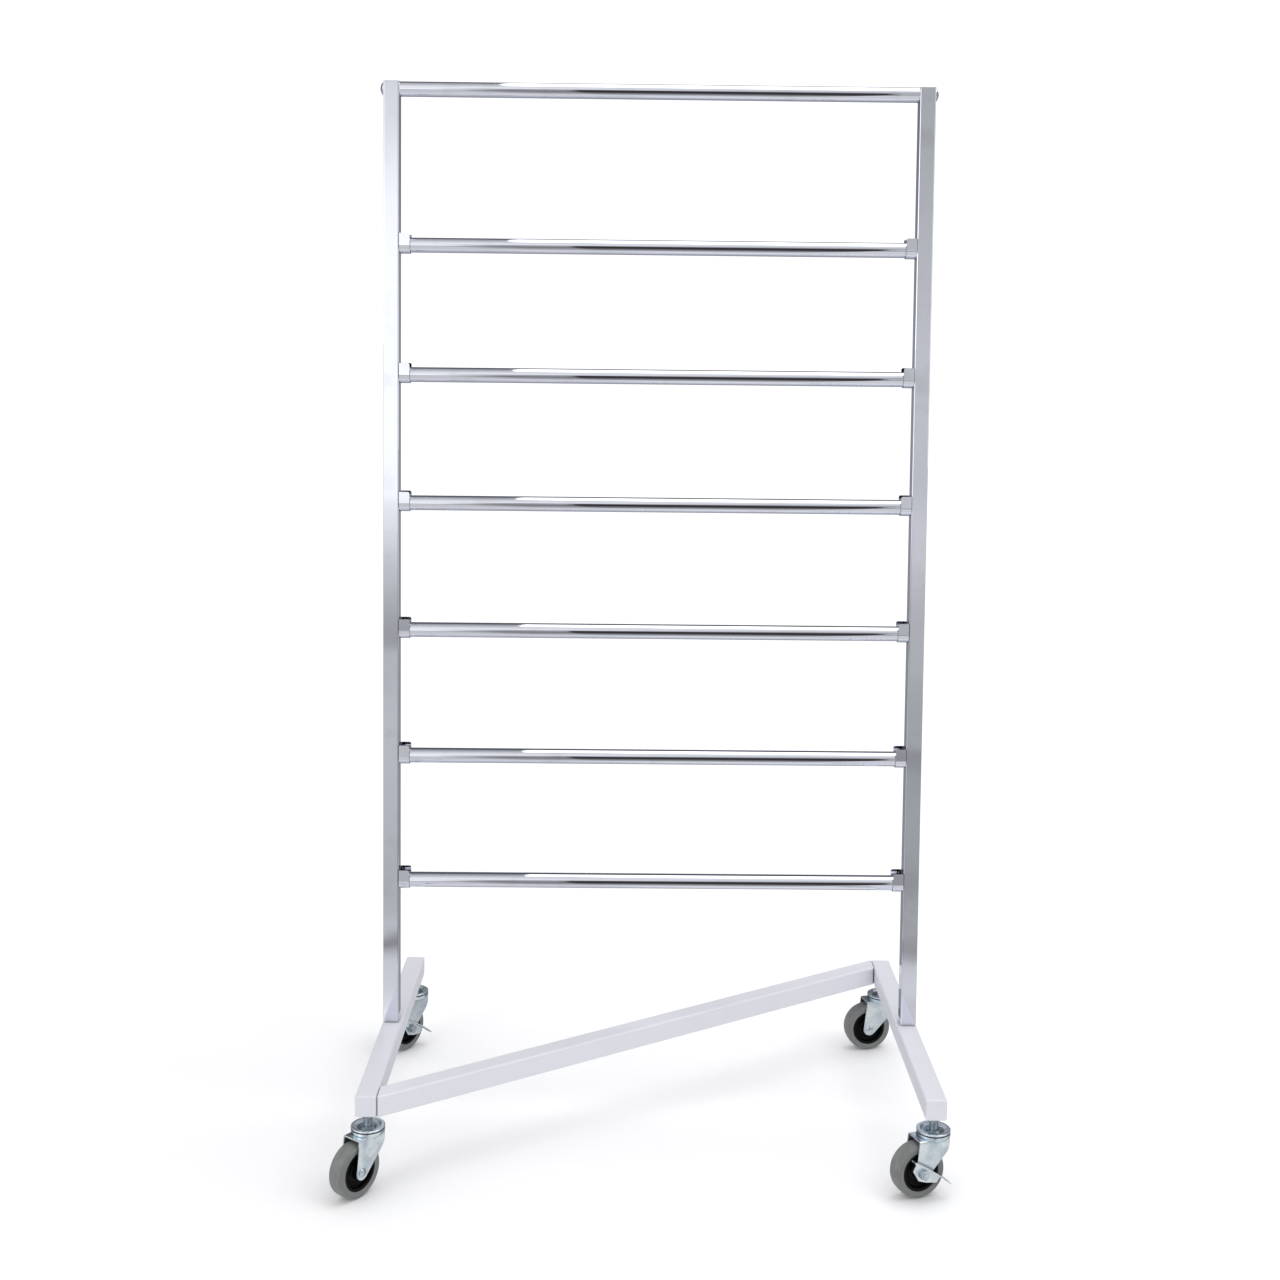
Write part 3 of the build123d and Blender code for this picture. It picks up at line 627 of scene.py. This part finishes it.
# Places from left to right, as the way across divided by the way forward
LEAST_FORWARD = 0.05
SIDES_MEET = (-0.12, 0.14)
SHADE_EDGE = (-0.128, -0.074)
FIGURE_MIDDLE = 0.059
FIGURE_REACH = 0.097
FIGURE_CRISPNESS = 12.0
# How far back a direction points where the studio's front gives way to its back
BACK_EDGE = (0.02, 0.38)
BACK_TINT = rgb(0.94, 0.95, 1.06)
DIFFUSE_LIGHT = rgb(0.86, 0.86, 0.865)
BACKDROP_WHITE = rgb(1.1, 1.1, 1.1)


def profile(graph, height, stops):
    """Grey level along the height in degrees, between the first and the last stop."""
    low, high = stops[0][0], stops[-1][0]
    ramp = graph.add("ShaderNodeValToRGB")
    share = graph.scaled(height, 1.0 / (high - low), -low / (high - low))
    graph.feed(share, ramp.inputs["Fac"])
    elements = ramp.color_ramp.elements
    while len(elements) > 1:
        elements.remove(elements[-1])
    for k, (degrees_up, level) in enumerate(stops):
        spot = (degrees_up - low) / (high - low)
        element = elements[0] if k == 0 else elements.new(spot)
        element.position = spot
        element.color = rgb(level, level, level)
    return ramp.outputs["Color"]


def side_of_studio(graph, height, coarse, fine):
    """The coarse profile with the fine one laid over it where it reaches."""
    above = graph.step(height, FINE_LOW - FINE_LOW_BLEND, FINE_LOW + FINE_LOW_BLEND)
    below = graph.step(height, FINE_HIGH + FINE_HIGH_BLEND, FINE_HIGH - FINE_HIGH_BLEND)
    inside = graph.math("MULTIPLY", above, below)
    return graph.blend(inside, profile(graph, height, coarse), profile(graph, height, fine))


def figure_share(graph, height, aside):
    """Share of the dark figure: crisp sides, and a half shade that fades out to the left."""
    across = graph.scaled(aside, 1 / FIGURE_REACH, -FIGURE_MIDDLE / FIGURE_REACH)
    inside = graph.step(graph.math("POWER", across, FIGURE_CRISPNESS), 1.3, 0.7)
    left_half = graph.step(aside, FIGURE_MIDDLE, 0.0)
    shade = graph.math("MULTIPLY", graph.step(aside, *SHADE_EDGE), left_half)
    share = graph.math("MAXIMUM", inside, graph.math("MULTIPLY", shade, SHADE_SHARE))
    return graph.math("MULTIPLY", share, profile(graph, height, FIGURE))


def make_world():
    """Pale studio seen by reflections and soft light; plain white to the camera."""
    world = bpy.data.worlds.new("surroundings")
    world.use_nodes = True
    bpy.context.scene.world = world
    graph = Graph(world.node_tree)
    direction = graph.add("ShaderNodeTexCoord").outputs["Generated"]
    x, y, z = graph.add("ShaderNodeSeparateXYZ", {"Vector": direction}).outputs
    height = graph.math("MULTIPLY", graph.math("ARCSINE", z), 180.0 / pi)
    forward = graph.math("MAXIMUM", graph.math("MULTIPLY", y, -1.0), LEAST_FORWARD)
    aside = graph.math("DIVIDE", x, forward)
    left = side_of_studio(graph, height, LEFT_FRONT, LEFT_FINE)
    right = side_of_studio(graph, height, RIGHT_FRONT, RIGHT_FINE)
    front = graph.blend(graph.step(aside, *SIDES_MEET), left, right)
    front = graph.blend(figure_share(graph, height, aside), front, FIGURE_COLOUR)
    back_share = graph.step(y, *BACK_EDGE)
    level = graph.blend(back_share, front, profile(graph, height, BEHIND))
    level = graph.blend(back_share, level, graph.blend(1.0, level, BACK_TINT, "MULTIPLY"))
    paths = graph.add("ShaderNodeLightPath").outputs
    colour = graph.blend(paths["Is Diffuse Ray"], level, DIFFUSE_LIGHT)
    colour = graph.blend(paths["Is Camera Ray"], colour, BACKDROP_WHITE)
    background = graph.add("ShaderNodeBackground", {"Color": colour, "Strength": 1.0})
    output = graph.add("ShaderNodeOutputWorld")
    graph.feed(background.outputs["Background"], output.inputs["Surface"])


make_camera()
make_floor()
make_world()
soft_light("overhead_softbox", place=(1.145, 0.2, 3.4), aim=(1.145, 0.2, 0.0), size=(3.05, 2.4), power=42.7)
soft_light("left_softbox", place=(-2.6, -2.4, 2.2), aim=(0.0, 0.0, 0.8), size=(1.4, 2.0), power=14.0)
soft_light("right_softbox", place=(3.0, -1.2, 1.8), aim=(0.0, 0.0, 0.7), size=(1.2, 2.0), power=8.0)
bpy.context.scene.view_settings.view_transform = "Standard"
